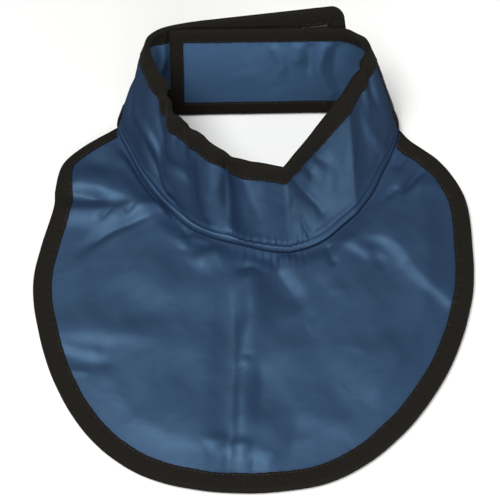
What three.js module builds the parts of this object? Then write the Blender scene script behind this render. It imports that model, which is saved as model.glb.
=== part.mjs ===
// A thyroid shield collar lying on its bib: a rounded bib, a stand-up neck band whose two arms overlap at the
// back, woven tape folded over every edge, and a hook and loop closing between the arms.
// Millimetres, +Z up, the wearer's front towards -Y. The origin is under the middle of the whole shield.

import * as THREE from 'three';

// Driving dimensions
const BIB_WIDTH = 282;
const BIB_DROP = 230;          // from the middle of the neck hole to the bib's lowest edge
const NECK_WIDTH = 190;        // across the collar's foot
const NECK_DEPTH = 122;        // from front to back of the collar's foot
const COLLAR_RISE = 59;        // height of the collar's top edge above the table
const BAND_HEIGHT = 63;        // of the neck band, measured up the cloth
const CLOTH = 2.4;             // coated cloth on both sides of its heavy core
const TAPE = 0.7;              // thickness of the binding tape
const TAPE_WIDTH = 12;         // what shows of the folded tape on each face
const PILE = 1.2;              // thickness of the loop panel
const HOOK = 1.0;              // thickness of the hook strip
const HOOK_LENGTH = 50;
const HEM = 0.8;               // how far the topstitched foot of the band stands out
const GAP = 0.3;               // between pieces that touch
const FOLD_RISE = 6;           // height of the bib's tallest fold above the table
const BUMP = 4;                // how far the neck band's dents and bulges leave a straight wall
const END_ROUND = 9;           // corner radius of the outer arm's end
const INNER_ROUND = 3;         // corner radius of the inner arm's end

// How the back of the collar stands
const BACK_REACH = 57.7;       // from the middle of the neck hole to the back's foot
const BACK_LEAN = 0.40;        // backwards, for each millimetre of height
const BACK_SKEW = 0.02;        // backwards, for each millimetre to the right
const OUTER_END = { foot: 0.72, top: 0.62 };      // shares of half the neck's width
const OUTER_START = { foot: -0.59, top: -0.53 };
const OUTER_LIFT = { foot: 0.20, top: 1.19 };     // height of the raised end, as a share of the collar's rise
const INNER_ARM = [             // sections of the inner arm, to its end
  { foot: 0.60, top: 0.52 },
  { foot: 0.50, top: 0.43 },
  { foot: 0.10, top: 0.08 },
  { foot: -0.30, top: -0.30 },
  { foot: -0.60, top: -0.60 },
];
const ARM_FOOT = 0.015;        // height of the arms' lower edges, as a share of the collar's rise
const BACK_RISE = 1.01;        // height of the arms' top edges, as a share of the collar's rise

// Values that follow
const BIB_HALF = BIB_WIDTH / 2;
const NECK_HALF = NECK_WIDTH / 2;
const NECK_REACH = NECK_DEPTH / 2;
const EDGE = TAPE + GAP;                          // from the tape's fold to the cloth inside it
const TAPE_OUT = CLOTH / 2 + GAP + TAPE;          // from the middle of the cloth to the tape's outside
const SEAM_OUT = CLOTH / 2 + HEM + GAP;           // from the middle of the band's foot to the bib's seam line
const LAP = CLOTH + HOOK + PILE + 3 * GAP;        // between the middles of the two arms

// The neck band's wall from the left back corner to the right back corner. x and y are shares of half the
// neck's width and depth, rise is the top edge's height as a share of the collar's, bump is the outward
// bulge half way up as a share of BUMP, kink marks a sharp fold, and seam marks the stretch sewn to the bib.
const WALL = [
  { footX: -0.820, footY: 1.065, topX: -0.690, topY: 1.300, rise: 1.00, bump: 0.0, kink: false, seam: false },
  { footX: -0.925, footY: 0.960, topX: -0.726, topY: 1.230, rise: 1.00, bump: 0.0, kink: false, seam: false },
  { footX: -0.965, footY: 0.830, topX: -0.740, topY: 1.155, rise: 1.00, bump: 0.0, kink: false, seam: false },
  { footX: -0.966, footY: 0.697, topX: -0.740, topY: 1.074, rise: 1.00, bump: 0.2, kink: false, seam: true },
  { footX: -0.867, footY: 0.300, topX: -0.690, topY: 0.828, rise: 1.00, bump: 0.5, kink: false, seam: true },
  { footX: -0.775, footY: -0.005, topX: -0.644, topY: 0.590, rise: 1.00, bump: 0.2, kink: false, seam: true },
  { footX: -0.686, footY: -0.233, topX: -0.634, topY: 0.377, rise: 0.98, bump: -0.7, kink: false, seam: true },
  { footX: -0.588, footY: -0.418, topX: -0.563, topY: 0.164, rise: 1.00, bump: 0.5, kink: false, seam: true },
  { footX: -0.436, footY: -0.670, topX: -0.442, topY: -0.025, rise: 1.01, bump: -0.3, kink: false, seam: true },
  { footX: -0.284, footY: -0.792, topX: -0.295, topY: -0.262, rise: 1.01, bump: 0.7, kink: false, seam: true },
  { footX: -0.175, footY: -0.850, topX: -0.174, topY: -0.385, rise: 0.97, bump: -0.9, kink: false, seam: true },
  { footX: -0.078, footY: -0.890, topX: -0.082, topY: -0.479, rise: 1.00, bump: 0.7, kink: false, seam: true },
  { footX: 0.113, footY: -0.970, topX: 0.053, topY: -0.518, rise: 0.99, bump: 0.0, kink: false, seam: true },
  { footX: 0.232, footY: -0.984, topX: 0.195, topY: -0.557, rise: 0.97, bump: 0.2, kink: true, seam: true },
  { footX: 0.346, footY: -0.934, topX: 0.279, topY: -0.369, rise: 0.98, bump: -0.4, kink: false, seam: true },
  { footX: 0.465, footY: -0.834, topX: 0.389, topY: -0.115, rise: 0.99, bump: -0.5, kink: false, seam: true },
  { footX: 0.611, footY: -0.616, topX: 0.526, topY: 0.230, rise: 1.00, bump: 0.0, kink: false, seam: true },
  { footX: 0.690, footY: -0.492, topX: 0.610, topY: 0.443, rise: 1.00, bump: 0.6, kink: true, seam: true },
  { footX: 0.812, footY: -0.197, topX: 0.679, topY: 0.648, rise: 1.00, bump: -0.3, kink: false, seam: true },
  { footX: 0.889, footY: 0.089, topX: 0.732, topY: 0.795, rise: 1.00, bump: 0.0, kink: false, seam: true },
  { footX: 0.965, footY: 0.354, topX: 0.768, topY: 0.959, rise: 1.00, bump: 0.4, kink: false, seam: true },
  { footX: 1.016, footY: 0.672, topX: 0.782, topY: 1.107, rise: 1.00, bump: 0.2, kink: false, seam: true },
  { footX: 1.010, footY: 0.852, topX: 0.753, topY: 1.205, rise: 1.01, bump: 0.0, kink: false, seam: false },
  { footX: 0.937, footY: 0.984, topX: 0.700, topY: 1.259, rise: 1.02, bump: 0.0, kink: false, seam: false },
  { footX: 0.780, footY: 0.975, topX: 0.630, topY: 1.335, rise: 1.01, bump: 0.0, kink: false, seam: false },
];

// The bib's outer edge between the two shoulder corners, as shares of half its width and of its drop
const BIB_EDGE = [
  { x: -0.835, y: 0.106 },
  { x: -0.912, y: 0.048 },
  { x: -0.938, y: -0.045 },
  { x: -0.936, y: -0.100 },
  { x: -0.982, y: -0.257 },
  { x: -1.000, y: -0.360 },
  { x: -0.970, y: -0.489 },
  { x: -0.867, y: -0.683 },
  { x: -0.696, y: -0.850 },
  { x: -0.478, y: -0.953 },
  { x: -0.207, y: -0.998 },
  { x: 0.100, y: -1.000 },
  { x: 0.352, y: -0.964 },
  { x: 0.611, y: -0.847 },
  { x: 0.837, y: -0.653 },
  { x: 0.972, y: -0.424 },
  { x: 1.000, y: -0.240 },
  { x: 0.982, y: -0.064 },
  { x: 0.884, y: 0.057 },
  { x: 0.745, y: 0.140 },
];
const SHOULDER_SHARE = 0.052;  // of the bib's whole edge, from each shoulder corner to where the side begins

// The bib's main folds. Each path is in shares of half the bib's width and of its drop, width is a share of
// the bib's width, and rise a share of FOLD_RISE.
const FOLDS = [
  { path: [[-0.90, -0.015], [-0.68, -0.056], [-0.47, -0.090]], width: 0.030, rise: 0.85 },
  { path: [[-0.88, -0.135], [-0.715, -0.163], [-0.60, -0.156], [-0.47, -0.114]], width: 0.024, rise: 0.75 },
  { path: [[-0.64, 0.115], [-0.56, 0.020], [-0.49, -0.050]], width: 0.020, rise: 0.35 },
  { path: [[-0.035, -0.370], [-0.012, -0.430], [-0.020, -0.500], [-0.055, -0.593]], width: 0.034, rise: 0.95 },
  { path: [[-0.065, -0.603], [-0.073, -0.740], [-0.072, -0.930]], width: 0.022, rise: 0.60 },
  { path: [[0.120, -0.300], [0.170, -0.394], [0.235, -0.447], [0.210, -0.520]], width: 0.030, rise: 0.75 },
  { path: [[-0.240, -0.320], [-0.230, -0.524], [-0.225, -0.740], [-0.205, -0.920]], width: 0.030, rise: 0.45 },
  { path: [[0.520, -0.222], [0.627, -0.260], [0.742, -0.388], [0.836, -0.434]], width: 0.026, rise: 0.60 },
  { path: [[-0.85, -0.540], [-0.636, -0.549], [-0.430, -0.571]], width: 0.036, rise: 0.35 },
  { path: [[0.76, 0.020], [0.66, -0.070]], width: 0.020, rise: 0.40 },
  { path: [[0.240, -0.780], [0.190, -0.870], [0.160, -0.930]], width: 0.022, rise: 0.40 },
];

// How finely each piece is cut into faces
const SEAM_STEPS = 51;
const BIB_ROWS = 13;
const SHOULDER_STEPS = 6;
const ARM_STEP = 7;            // along the arms
const WALL_ROWS = 4;           // between the tapes, up the neck band
const EDGE_SAMPLES = 240;

const clamp01 = (value) => Math.min(1, Math.max(0, value));
const lerp = (a, b, share) => a + (b - a) * share;
const smooth = (from, to, value) => {
  const share = clamp01((value - from) / (to - from));
  return share * share * (3 - 2 * share);
};

// Closed body from the filled cells of a lattice, i by j by k, whose corners point(i, j, k) gives. The three
// directions are right-handed, so that the faces look outwards.
function latticeBody(name, counts, isFilled, point, colour, roughness) {
  const [ni, nj, nk] = counts;
  const inside = (i, j, k) => i >= 0 && j >= 0 && k >= 0 && i < ni && j < nj && k < nk && isFilled(i, j, k);
  const numbers = new Map();
  const positions = [];
  const triangles = [];
  const vertex = (i, j, k) => {
    const key = (i * (nj + 1) + j) * (nk + 1) + k;
    if (!numbers.has(key)) {
      numbers.set(key, positions.length / 3);
      const p = point(i, j, k);
      positions.push(p.x, p.y, p.z);
    }
    return numbers.get(key);
  };
  const quad = (a, b, c, d) => triangles.push(a, b, c, a, c, d);
  for (let i = 0; i < ni; i += 1) {
    for (let j = 0; j < nj; j += 1) {
      for (let k = 0; k < nk; k += 1) {
        if (inside(i, j, k)) {
          const at = (di, dj, dk) => vertex(i + di, j + dj, k + dk);
          if (!inside(i, j, k + 1)) quad(at(0, 0, 1), at(1, 0, 1), at(1, 1, 1), at(0, 1, 1));
          if (!inside(i, j, k - 1)) quad(at(0, 0, 0), at(0, 1, 0), at(1, 1, 0), at(1, 0, 0));
          if (!inside(i + 1, j, k)) quad(at(1, 0, 0), at(1, 1, 0), at(1, 1, 1), at(1, 0, 1));
          if (!inside(i - 1, j, k)) quad(at(0, 0, 0), at(0, 0, 1), at(0, 1, 1), at(0, 1, 0));
          if (!inside(i, j + 1, k)) quad(at(0, 1, 0), at(0, 1, 1), at(1, 1, 1), at(1, 1, 0));
          if (!inside(i, j - 1, k)) quad(at(0, 0, 0), at(1, 0, 0), at(1, 0, 1), at(0, 0, 1));
        }
      }
    }
  }
  const geometry = new THREE.BufferGeometry();
  geometry.setAttribute('position', new THREE.Float32BufferAttribute(positions, 3));
  geometry.setIndex(triangles);
  geometry.computeVertexNormals();
  const material = new THREE.MeshStandardMaterial({ color: colour, roughness, metalness: 0 });
  const mesh = new THREE.Mesh(geometry, material);
  mesh.name = name;
  return mesh;
}

// The bib's outer edge needs the shoulder corners, and those come from the collar's foot, so the collar's
// plan is worked out first.

// A section of the back, on the leaning plane that the arms share; layer is how far outside the inner arm
function backSection(footX, footZ, topX, topZ, layer) {
  const away = layer * Math.hypot(1, BACK_LEAN);
  const place = (x, z) => new THREE.Vector3(x, BACK_REACH + BACK_SKEW * x + BACK_LEAN * z + away, z);
  return { foot: place(footX, footZ), top: place(topX, topZ), bump: 0, kink: false, seam: false };
}

// All sections, from the outer arm's end round the front to the inner arm's end
function collarSections() {
  const outer = [1, 0.7, 0.4, 0.22, 0.12].map((share) => backSection(
    lerp(OUTER_START.foot, OUTER_END.foot, share) * NECK_HALF,
    lerp(ARM_FOOT, OUTER_LIFT.foot, share) * COLLAR_RISE,
    lerp(OUTER_START.top, OUTER_END.top, share) * NECK_HALF,
    lerp(BACK_RISE, OUTER_LIFT.top, share) * COLLAR_RISE,
    LAP,
  ));
  const wall = WALL.map((row) => ({
    foot: new THREE.Vector3(row.footX * NECK_HALF, row.footY * NECK_REACH, ARM_FOOT * COLLAR_RISE),
    top: new THREE.Vector3(row.topX * NECK_HALF, row.topY * NECK_REACH, row.rise * COLLAR_RISE),
    bump: row.bump * BUMP,
    kink: row.kink,
    seam: row.seam,
  }));
  const inner = INNER_ARM.map((row) => backSection(
    row.foot * NECK_HALF,
    ARM_FOOT * COLLAR_RISE,
    row.top * NECK_HALF,
    BACK_RISE * COLLAR_RISE,
    0,
  ));
  return [...outer, ...wall, ...inner];
}

const SECTIONS = collarSections();

// Distance along the band at each section, the mean of the foot's and the top's
const STATIONS = SECTIONS.reduce((list, section, index) => {
  if (index === 0) return [0];
  const before = SECTIONS[index - 1];
  const step = (section.foot.distanceTo(before.foot) + section.top.distanceTo(before.top)) / 2;
  return [...list, list[index - 1] + step];
}, []);
const BAND_LENGTH = STATIONS[STATIONS.length - 1];
const SEAM_START = STATIONS[SECTIONS.findIndex((section) => section.seam)];
const SEAM_END = STATIONS[SECTIONS.findLastIndex((section) => section.seam)];

// Smooth run of one value through the sections, sharp only where a section is a kink
function run(read, along) {
  const last = STATIONS.length - 1;
  let n = 0;
  while (n < last - 1 && along > STATIONS[n + 1]) n += 1;
  const slope = (a, b) => (read(SECTIONS[b]) - read(SECTIONS[a])) / (STATIONS[b] - STATIONS[a]);
  const tangent = (at, other) => {
    if (at === 0 || at === last || SECTIONS[at].kink) return slope(Math.min(at, other), Math.max(at, other));
    const left = STATIONS[at] - STATIONS[at - 1];
    const right = STATIONS[at + 1] - STATIONS[at];
    return (slope(at - 1, at) * right + slope(at, at + 1) * left) / (left + right);
  };
  const length = STATIONS[n + 1] - STATIONS[n];
  const t = (along - STATIONS[n]) / length;
  const t2 = t * t;
  const t3 = t2 * t;
  return read(SECTIONS[n]) * (2 * t3 - 3 * t2 + 1)
    + tangent(n, n + 1) * length * (t3 - 2 * t2 + t)
    + read(SECTIONS[n + 1]) * (3 * t2 - 2 * t3)
    + tangent(n + 1, n) * length * (t3 - t2);
}

const footPlan = (along) => new THREE.Vector3(
  run((section) => section.foot.x, along),
  run((section) => section.foot.y, along),
  0,
);

// Direction of the foot in plan, and the way out of the neck there
function footWay(along) {
  const step = 0.5;
  return footPlan(Math.min(along + step, BAND_LENGTH)).sub(footPlan(Math.max(along - step, 0))).normalize();
}
const footOut = (along) => {
  const way = footWay(along);
  return new THREE.Vector3(way.y, -way.x, 0);
};
const seamPoint = (along, out) => footPlan(along).addScaledVector(footOut(along), out);

// The bib's edge: the outside of its binding, from the left shoulder corner round to the right one
const BIB_OUTLINE = new THREE.CatmullRomCurve3([
  seamPoint(SEAM_START, SEAM_OUT + GAP),
  ...BIB_EDGE.map((row) => new THREE.Vector3(row.x * BIB_HALF, row.y * BIB_DROP, 0)),
  seamPoint(SEAM_END, SEAM_OUT + GAP),
], false, 'centripetal');
BIB_OUTLINE.arcLengthDivisions = EDGE_SAMPLES;

const edgeInward = (share) => {
  const way = BIB_OUTLINE.getTangentAt(clamp01(share));
  return new THREE.Vector3(-way.y, way.x, 0).normalize();
};
const insideEdge = (share, depth) => BIB_OUTLINE.getPointAt(clamp01(share)).addScaledVector(edgeInward(share), depth);

// Distance from a point of the plan to a chain of points
function distanceToChain(chain, x, y) {
  let nearest = Infinity;
  for (let n = 1; n < chain.length; n += 1) {
    const a = chain[n - 1];
    const b = chain[n];
    const dx = b.x - a.x;
    const dy = b.y - a.y;
    const share = clamp01(((x - a.x) * dx + (y - a.y) * dy) / (dx * dx + dy * dy));
    nearest = Math.min(nearest, Math.hypot(x - a.x - share * dx, y - a.y - share * dy));
  }
  return nearest;
}

const EDGE_CHAIN = BIB_OUTLINE.getSpacedPoints(EDGE_SAMPLES);
const SEAM_CHAIN = Array.from({ length: SEAM_STEPS + 1 }, (unused, n) => (
  seamPoint(lerp(SEAM_START, SEAM_END, n / SEAM_STEPS), SEAM_OUT)
));
const FOLD_CHAINS = FOLDS.map((fold) => ({
  chain: fold.path.map(([x, y]) => new THREE.Vector3(x * BIB_HALF, y * BIB_DROP, 0)),
  width: fold.width * BIB_WIDTH,
  rise: fold.rise * FOLD_RISE,
}));

// Height of the bib's underside: it lies on the table, is lifted by the tape under its edge, and has folds
// that die out before the tape and at the neck seam.
const EDGE_FADE = 1.1 * TAPE_WIDTH;
function bibUnder(x, y) {
  const toEdge = distanceToChain(EDGE_CHAIN, x, y);
  const toSeam = distanceToChain(SEAM_CHAIN, x, y);
  const lift = EDGE * (1 - smooth(EDGE_FADE, 2 * TAPE_WIDTH, toEdge));
  const fade = smooth(EDGE_FADE, 2 * TAPE_WIDTH, toEdge) * smooth(0, TAPE_WIDTH, toSeam);
  const folds = FOLD_CHAINS.reduce((sum, fold) => (
    sum + fold.rise * Math.exp(-((distanceToChain(fold.chain, x, y) / fold.width) ** 2))
  ), 0);
  return lift + Math.max(0, folds * fade);
}

// The bib: rows run from the neck seam to the outer edge, stations from shoulder to shoulder
function bibPanel() {
  const side = (share) => lerp(SHOULDER_SHARE, 1 - SHOULDER_SHARE, share);
  const outer = (share) => insideEdge(side(share), EDGE);
  const seam = (share) => seamPoint(lerp(SEAM_START, SEAM_END, share), SEAM_OUT);
  const left = (share) => insideEdge(SHOULDER_SHARE * share, EDGE);
  const right = (share) => insideEdge(1 - SHOULDER_SHARE * share, EDGE);
  const plan = (across, along) => {
    const ruled = seam(along).multiplyScalar(1 - across).addScaledVector(outer(along), across);
    const ends = left(across).multiplyScalar(1 - along).addScaledVector(right(across), along);
    const corners = seam(0).multiplyScalar((1 - across) * (1 - along))
      .addScaledVector(seam(1), (1 - across) * along)
      .addScaledVector(outer(0), across * (1 - along))
      .addScaledVector(outer(1), across * along);
    return ruled.add(ends).sub(corners);
  };
  const point = (row, station, face) => {
    const along = station / SEAM_STEPS;
    const atSeam = plan(0, along);
    const height = face * CLOTH;
    if (row === 0) {
      const under = footOut(lerp(SEAM_START, SEAM_END, along)).multiplyScalar(-SEAM_OUT - CLOTH / 2 - 2 * GAP);
      return atSeam.clone().add(under).setZ(bibUnder(atSeam.x, atSeam.y) + height);
    }
    const p = plan((row - 1) / BIB_ROWS, along);
    return p.setZ(bibUnder(p.x, p.y) + height);
  };
  return latticeBody('bib_panel', [BIB_ROWS + 1, SEAM_STEPS, 1], () => true, point, 0x3a5573, 0.35);
}

// How far it is from a point to the neck seam in one direction
function distanceToSeamAlong(start, way) {
  let nearest = Infinity;
  for (let n = 1; n < SEAM_CHAIN.length; n += 1) {
    const a = SEAM_CHAIN[n - 1].clone().sub(start);
    const side = SEAM_CHAIN[n].clone().sub(SEAM_CHAIN[n - 1]);
    const turn = way.x * side.y - way.y * side.x;
    const distance = (a.x * side.y - a.y * side.x) / turn;
    const share = (a.x * way.y - a.y * way.x) / turn;
    if (distance > 0 && share >= 0 && share <= 1) nearest = Math.min(nearest, distance);
  }
  return nearest;
}

// The tape round the bib: a folded strip, narrower near the corners, where it ends at the neck seam
function bibBinding() {
  const shares = [];
  for (let n = 0; n < SHOULDER_STEPS; n += 1) shares.push(SHOULDER_SHARE * n / SHOULDER_STEPS);
  for (let n = 0; n <= SEAM_STEPS; n += 1) {
    shares.push(lerp(SHOULDER_SHARE, 1 - SHOULDER_SHARE, n / SEAM_STEPS));
  }
  for (let n = SHOULDER_STEPS - 1; n >= 0; n -= 1) shares.push(1 - SHOULDER_SHARE * n / SHOULDER_STEPS);
  const last = shares.length - 1;
  const heights = [0, TAPE, EDGE + CLOTH + GAP, EDGE + CLOTH + EDGE];
  const inward = (station) => {
    if (station > 0 && station < last) return edgeInward(shares[station]);
    const next = station === 0 ? 1 : SEAM_STEPS - 1;
    return SEAM_CHAIN[next].clone().sub(SEAM_CHAIN[station === 0 ? 0 : SEAM_STEPS]).normalize();
  };
  const widths = shares.map((share, station) => {
    const room = distanceToSeamAlong(BIB_OUTLINE.getPointAt(share), edgeInward(share)) - GAP;
    return station === 0 || station === last ? EDGE : Math.max(EDGE, Math.min(TAPE_WIDTH, room));
  });
  const point = (station, column, level) => {
    const folded = column === 0 && (level === 0 || level === 3);
    const depth = folded ? TAPE / 2 : [0, TAPE, widths[station]][column];
    return BIB_OUTLINE.getPointAt(shares[station])
      .addScaledVector(inward(station), depth)
      .setZ(heights[level]);
  };
  const filled = (station, column, level) => column === 0 || level !== 1;
  return latticeBody('bib_binding', [last, 2, 3], filled, point, 0x25231e, 0.9);
}

// Neck band

// Height of the band's foot: on the bib along the seam, and near the table along the arms
function footRise(along) {
  const inSeam = Math.min(Math.max(along, SEAM_START), SEAM_END);
  const p = seamPoint(inSeam, SEAM_OUT);
  const onBib = bibUnder(p.x, p.y) + CLOTH + GAP;
  const base = run((section) => section.foot.z, along);
  return lerp(onBib, base, smooth(0, TAPE_WIDTH, Math.abs(along - inSeam)));
}

// Round the corner of an arm's end: square rings of the corner block become arcs
function roundCorner(fromEnd, fromEdge, radius) {
  const p = new THREE.Vector2((radius - fromEnd) / radius, (radius - fromEdge) / radius);
  if (p.x <= 0 || p.y <= 0) return new THREE.Vector2(fromEnd, fromEdge);
  p.multiplyScalar(Math.max(p.x, p.y) / p.length());
  return new THREE.Vector2(radius - p.x * radius, radius - p.y * radius);
}

// Point of the band's middle surface, by its distance along the band and up it
function bandMiddle(alongFlat, upFlat) {
  let along = alongFlat;
  let up = upFlat;
  const fromEnd = Math.min(along, BAND_LENGTH - along);
  const radius = along < BAND_LENGTH / 2 ? END_ROUND : INNER_ROUND;
  const fromEdge = Math.min(up, BAND_HEIGHT - up);
  if (fromEnd < radius && fromEdge < radius) {
    const moved = roundCorner(fromEnd, fromEdge, radius);
    along += (along < BAND_LENGTH / 2 ? 1 : -1) * (moved.x - fromEnd);
    up += (up < BAND_HEIGHT / 2 ? 1 : -1) * (moved.y - fromEdge);
  }
  const share = up / BAND_HEIGHT;
  const foot = footPlan(along).setZ(footRise(along));
  const top = new THREE.Vector3(
    run((section) => section.top.x, along),
    run((section) => section.top.y, along),
    run((section) => section.top.z, along),
  );
  const wall = top.clone().sub(foot);
  const out = footWay(along).cross(wall).normalize();
  const bump = run((section) => section.bump, along) * 4 * share * (1 - share);
  return foot.addScaledVector(wall, share).addScaledVector(out, bump);
}

// Point at a distance out of the middle surface, along its own normal
function bandPoint(along, up, out) {
  const step = 0.4;
  const near = (a, u) => bandMiddle(Math.min(Math.max(a, 0), BAND_LENGTH), Math.min(Math.max(u, 0), BAND_HEIGHT));
  const alongWay = near(along + step, up).sub(near(along - step, up));
  const upWay = near(along, up + step).sub(near(along, up - step));
  return bandMiddle(along, up).addScaledVector(alongWay.cross(upWay).normalize(), out);
}

// Stations along the band: close at the two bound ends, even along the arms, and the bib's own along the seam
function bandStations(ends) {
  const list = [...ends];
  const even = (from, to, step) => {
    const count = Math.max(1, Math.round((to - from) / step));
    for (let n = 1; n <= count; n += 1) list.push(lerp(from, to, n / count));
  };
  even(TAPE_WIDTH, SEAM_START - TAPE_WIDTH / 3, ARM_STEP);
  list.push(SEAM_START);
  even(SEAM_START, SEAM_END, (SEAM_END - SEAM_START) / SEAM_STEPS);
  list.push(SEAM_END + TAPE_WIDTH / 3);
  even(SEAM_END + TAPE_WIDTH / 3, BAND_LENGTH - TAPE_WIDTH, ARM_STEP);
  return [...list, ...ends.slice(0, -1).reverse().map((value) => BAND_LENGTH - value)];
}

const inSeamStretch = (along) => along > SEAM_START - GAP && along < SEAM_END + GAP;
const wallLevels = Array.from({ length: WALL_ROWS + 1 }, (unused, n) => (
  lerp(TAPE_WIDTH, BAND_HEIGHT - TAPE_WIDTH, n / WALL_ROWS)
));

function collarBand() {
  const stations = bandStations([EDGE, TAPE_WIDTH]);
  const levels = [EDGE, TAPE_WIDTH / 3, ...wallLevels, BAND_HEIGHT - EDGE];
  const point = (station, level, side) => {
    const along = stations[station];
    const out = (side - 0.5) * CLOTH;
    if (inSeamStretch(along) && level === 0) {
      return seamPoint(along, side === 1 ? out + HEM : out).setZ(footRise(along));
    }
    if (inSeamStretch(along) || level !== 1) return bandPoint(along, levels[level], out);
    const share = (levels[1] - levels[0]) / (levels[2] - levels[0]);
    return bandPoint(along, levels[0], out).lerp(bandPoint(along, levels[2], out), share);
  };
  const counts = [stations.length - 1, levels.length - 1, 1];
  return latticeBody('collar_band', counts, () => true, point, 0x3a5573, 0.35);
}

// The tape on the collar: over the top edge and both ends, and under the arms as far as the bib
function collarBinding() {
  const stations = bandStations([0, TAPE, TAPE_WIDTH]);
  const levels = [0, TAPE, ...wallLevels, BAND_HEIGHT - TAPE, BAND_HEIGHT];
  const outs = [-TAPE_OUT, -TAPE_OUT + TAPE, TAPE_OUT - TAPE, TAPE_OUT];
  const columns = stations.length - 1;
  const rows = levels.length - 1;
  const filled = (station, level, layer) => {
    const arm = stations[station + 1] < SEAM_START || stations[station] > SEAM_END;
    const bound = station < 2 || station >= columns - 2 || level >= rows - 2 || (level < 2 && arm);
    const fold = station === 0 || station === columns - 1 || level === rows - 1 || (level === 0 && arm);
    return bound && (fold || layer !== 1);
  };
  const point = (station, level, layer) => {
    const outside = layer === 0 || layer === 3;
    const soften = (value, low, high) => Math.min(Math.max(value, low), high);
    const inset = outside ? TAPE / 2 : 0;
    return bandPoint(
      soften(stations[station], inset, BAND_LENGTH - inset),
      soften(levels[level], inset, BAND_HEIGHT - inset),
      outs[layer],
    );
  };
  return latticeBody('collar_binding', [columns, rows, 3], filled, point, 0x25231e, 0.9);
}

// A flat panel sewn between the tapes of an arm, from one distance along the band to another
function armPanel(name, from, to, outLow, outHigh, roughness) {
  const between = bandStations([EDGE, TAPE_WIDTH]).filter((along) => along > from + PILE && along < to - PILE);
  const stations = [from, ...between, to];
  const margin = TAPE_WIDTH + 2 * GAP;
  const levels = [margin, ...wallLevels.slice(1, -1), BAND_HEIGHT - margin];
  const point = (station, level, side) => bandPoint(
    stations[station],
    levels[level],
    side === 0 ? outLow : outHigh,
  );
  return latticeBody(name, [stations.length - 1, WALL_ROWS, 1], () => true, point, 0x17171a, roughness);
}

const shield = new THREE.Group();
shield.add(bibPanel());
shield.add(bibBinding());
shield.add(collarBand());
shield.add(collarBinding());

const panelIn = CLOTH / 2 + GAP;
const armEnd = TAPE_WIDTH + 2 * GAP;
const loopStart = SEAM_END + TAPE_WIDTH / 6;
shield.add(armPanel('loop_panel', loopStart, BAND_LENGTH - armEnd, panelIn, panelIn + PILE, 1.0));
shield.add(armPanel('hook_strip', armEnd, armEnd + HOOK_LENGTH, -panelIn - HOOK, -panelIn, 0.6));

// The origin goes under the middle of the whole shield
const box = new THREE.Box3().setFromObject(shield);
shield.position.set(-(box.min.x + box.max.x) / 2, -(box.min.y + box.max.y) / 2, -box.min.z);

export default shield;
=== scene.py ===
import bpy
import numpy as np
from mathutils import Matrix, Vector


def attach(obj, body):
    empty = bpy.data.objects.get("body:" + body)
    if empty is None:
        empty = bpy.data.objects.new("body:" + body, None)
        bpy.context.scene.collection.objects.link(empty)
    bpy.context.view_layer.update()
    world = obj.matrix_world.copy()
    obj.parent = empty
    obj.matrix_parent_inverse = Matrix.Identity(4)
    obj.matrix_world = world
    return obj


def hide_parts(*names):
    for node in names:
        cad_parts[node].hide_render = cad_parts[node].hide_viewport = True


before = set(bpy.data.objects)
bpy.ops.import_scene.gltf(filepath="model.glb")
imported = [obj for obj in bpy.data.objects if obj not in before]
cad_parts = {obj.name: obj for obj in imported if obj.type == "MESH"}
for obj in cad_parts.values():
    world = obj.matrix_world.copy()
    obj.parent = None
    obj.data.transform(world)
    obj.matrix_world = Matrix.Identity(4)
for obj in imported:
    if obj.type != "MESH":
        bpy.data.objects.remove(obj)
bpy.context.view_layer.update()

# The camera
# It stands about a metre away in front of the shield and looks down at it at 55 degrees.
CAMERA_AIM = Vector((-0.00303, 0.01143, 0.0))
CAMERA_PLACE = Vector((-0.00303, -0.56217, 0.8192))

camera_data = bpy.data.cameras.new("camera")
camera_data.sensor_width = 36.0
camera_data.lens = 111.24
camera = bpy.data.objects.new("camera", camera_data)
camera.location = CAMERA_PLACE
camera.rotation_euler = (CAMERA_AIM - CAMERA_PLACE).to_track_quat("-Z", "Y").to_euler()
bpy.context.scene.collection.objects.link(camera)
bpy.context.scene.camera = camera

# The neck seam
# The bib is cut out for the neck, and the standing band is sewn on round that cut. The seam's line comes
# first, because the bib, the band and every tape are laid out from it. All lengths are millimetres.
NECK_HALF = 95.0
NECK_REACH = 61.0
COLLAR_RISE = 59.0
CLOTH = 2.4
PILE = 1.2
HOOK = 1.0
GAP = 0.3
LAP = CLOTH + HOOK + PILE + 3 * GAP  # from the middle of one arm to the middle of the other
BUMP = 4.0
BACK_REACH = 57.7  # from the middle of the neck hole to the foot of the collar's back
BACK_LEAN = 0.40  # how far the back leans away for each millimetre of height
BACK_SKEW = 0.02
ARM_FOOT = 0.015  # heights of the arms' feet and tops, as shares of COLLAR_RISE
BACK_RISE = 1.01
OUTER_LIFT = (0.20, 1.19)  # the same for the outer arm's end, which was set down askew
OUTER_FEET = (-0.59, 0.72)  # where the outer arm starts and ends, as shares of NECK_HALF
OUTER_TOPS = (-0.53, 0.62)
OUTER_SHARES = (1.0, 0.7, 0.4, 0.22, 0.12)
INNER_ARM = ((0.60, 0.52), (0.50, 0.43), (0.10, 0.08), (-0.30, -0.30), (-0.60, -0.60))

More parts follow.
